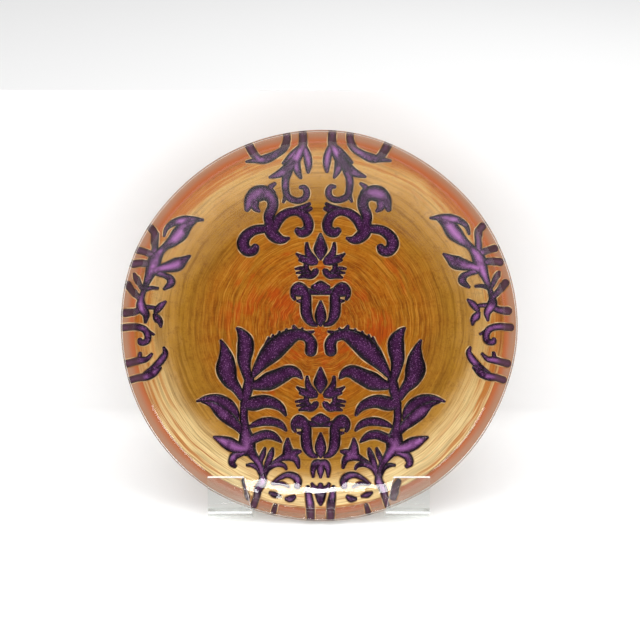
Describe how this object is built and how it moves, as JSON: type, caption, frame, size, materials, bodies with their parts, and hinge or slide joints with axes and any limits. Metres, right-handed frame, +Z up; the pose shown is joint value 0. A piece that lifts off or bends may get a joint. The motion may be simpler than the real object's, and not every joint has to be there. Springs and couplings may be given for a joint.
{
  "type": "decorative display plate on an easel",
  "caption": "Round glass display plate, back-painted in gold with raised purple scrolls, leaning in a clear bent acrylic easel.",
  "frame": {"origin": "on the table, under the centre of the object's box", "axes": "+Z up, the plate faces -Y and leans back towards +Y, +X runs across the plate to the viewer's right"},
  "size_m": [0.33, 0.1548, 0.3187],
  "materials": {
    "glass": "clear pressed glass, polished, slightly wavy",
    "gold": "brushed bronze-gold lacquer seen through the glass",
    "amber": "thin translucent amber wash",
    "sealer": "satin bronze sealing lacquer",
    "enamel": "raised aubergine enamel with fine glitter",
    "acrylic": "clear acrylic sheet, line-bent, polished edges"
  },
  "bodies": {
    "easel": {"easel": "acrylic"},
    "plate": {"glass_plate": "glass", "gold_ground": "gold", "amber_rim_wash": "amber", "sealing_coat": "sealer", "upper_finial": "enamel", "lower_finial": "enamel", "bell_drop": "enamel", "base_crown": "enamel", "left_bough": "enamel", "right_bough": "enamel", "left_arch_scroll": "enamel", "right_arch_scroll": "enamel", "left_petal_drops": "enamel", "right_petal_drops": "enamel", "left_upper_scroll": "enamel", "right_upper_scroll": "enamel", "left_stem_crook": "enamel", "right_stem_crook": "enamel", "left_top_arc": "enamel", "right_top_arc": "enamel", "left_side_spray": "enamel", "right_side_spray": "enamel", "left_rim_scroll": "enamel", "right_rim_scroll": "enamel", "left_rim_leaf": "enamel", "right_rim_leaf": "enamel"}
  },
  "joints": [
    {"name": "plate_lift", "type": "slide", "parent": "easel", "child": "plate", "axis": [0, 0.309, 0.9511], "range_m": [0, 0.25]}
  ]
}
